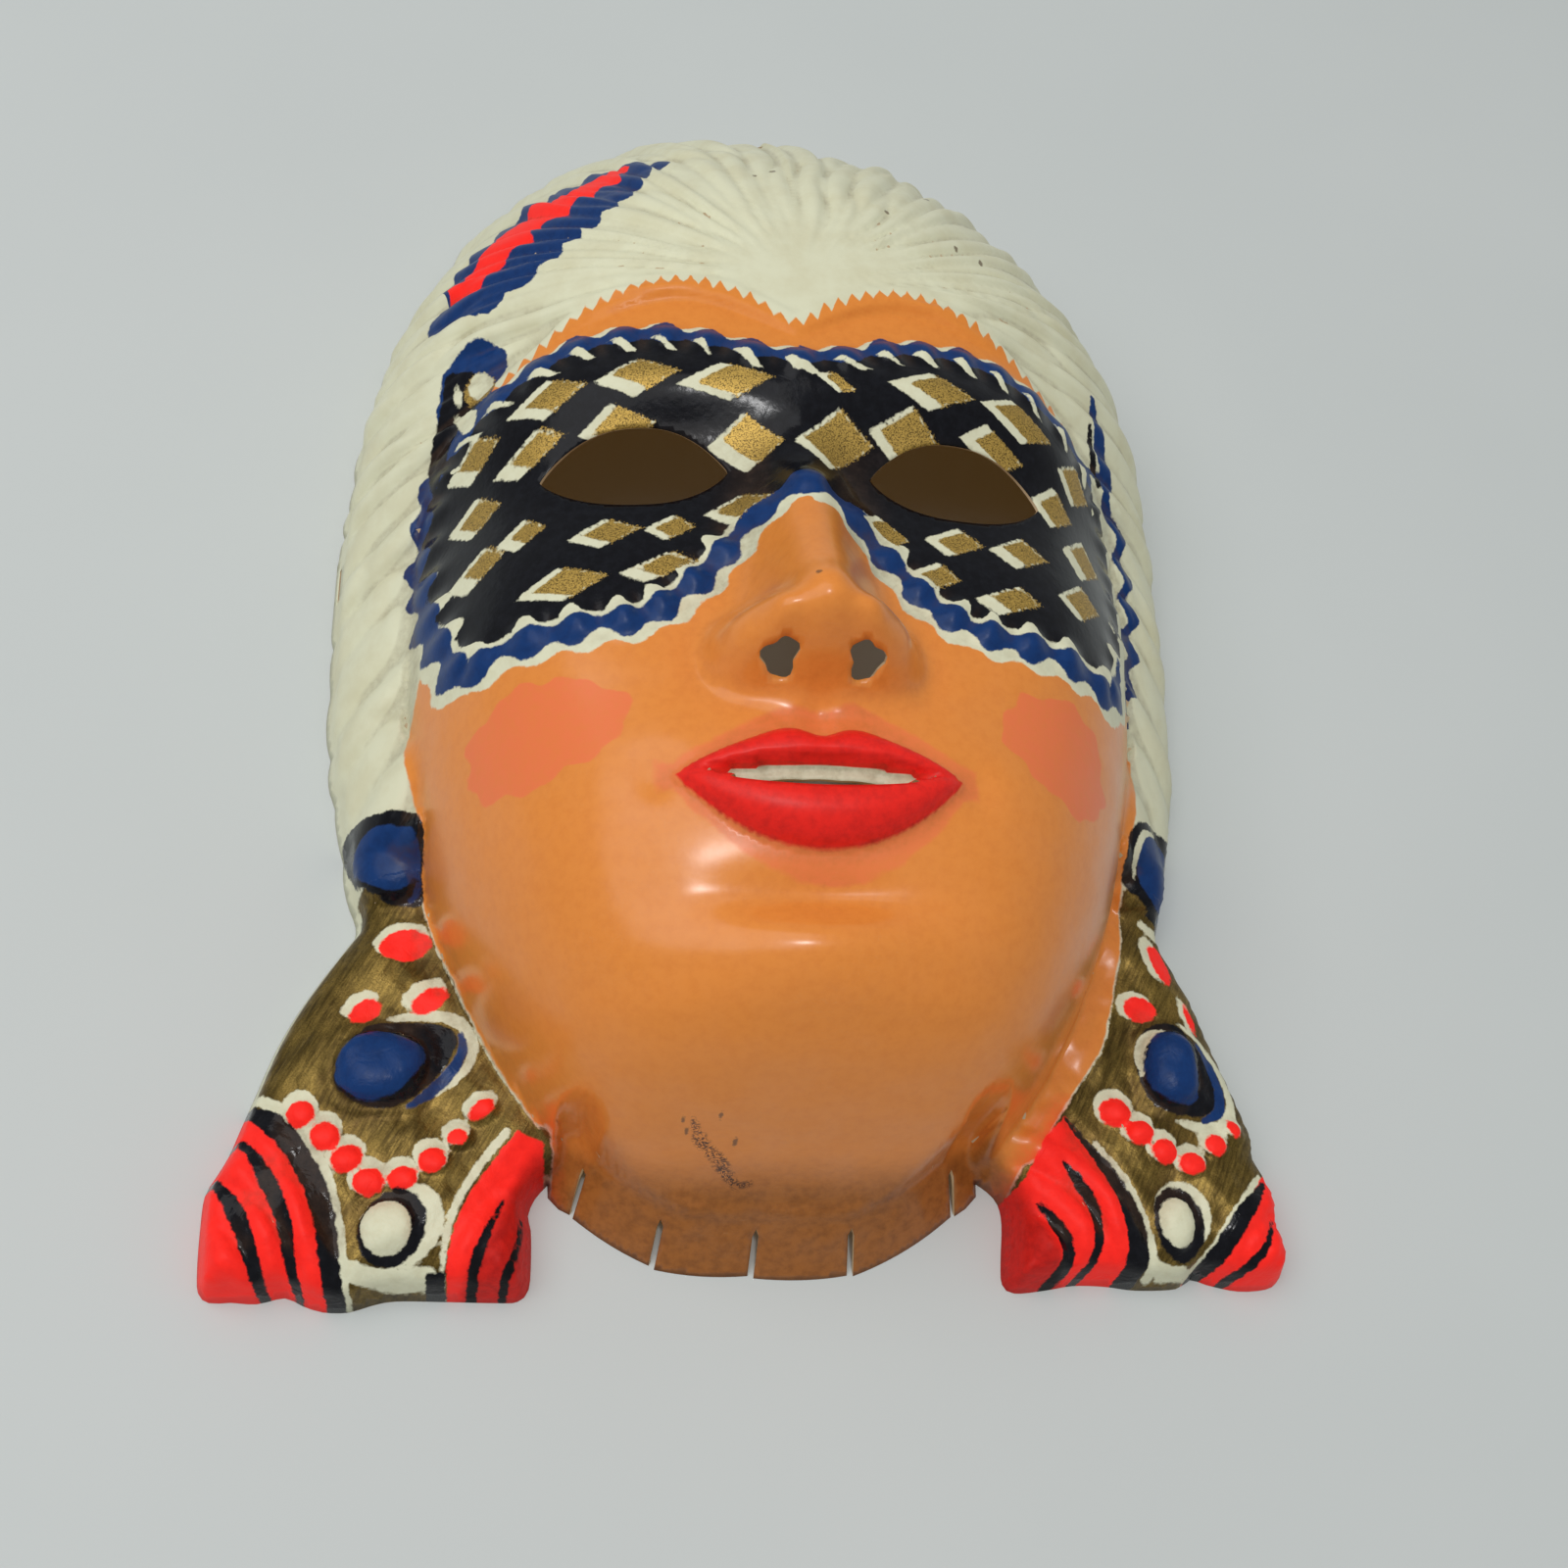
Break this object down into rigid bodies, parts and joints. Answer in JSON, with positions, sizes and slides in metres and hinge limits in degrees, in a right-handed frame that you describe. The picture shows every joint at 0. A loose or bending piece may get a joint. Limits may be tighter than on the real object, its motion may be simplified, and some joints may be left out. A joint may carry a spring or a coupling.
{
  "type": "plastic face mask",
  "caption": "Thin formed plastic carnival face mask with combed hair, a painted eye mask, large drop earrings and a slit flange under the chin; hollow behind.",
  "frame": {"origin": "centre of the bounding box in plan, at the height of the rim that the mask lies on", "axes": "+Z out of the face, +Y to the crown of the hair, +X to the viewer's right"},
  "size_m": [0.211, 0.2942, 0.091],
  "materials": {
    "formed_plastic": "thin cream plastic sheet, printed and sprayed on the face side, satin to glossy"
  },
  "bodies": {
    "root": {"mask": "formed_plastic"}
  },
  "joints": []
}
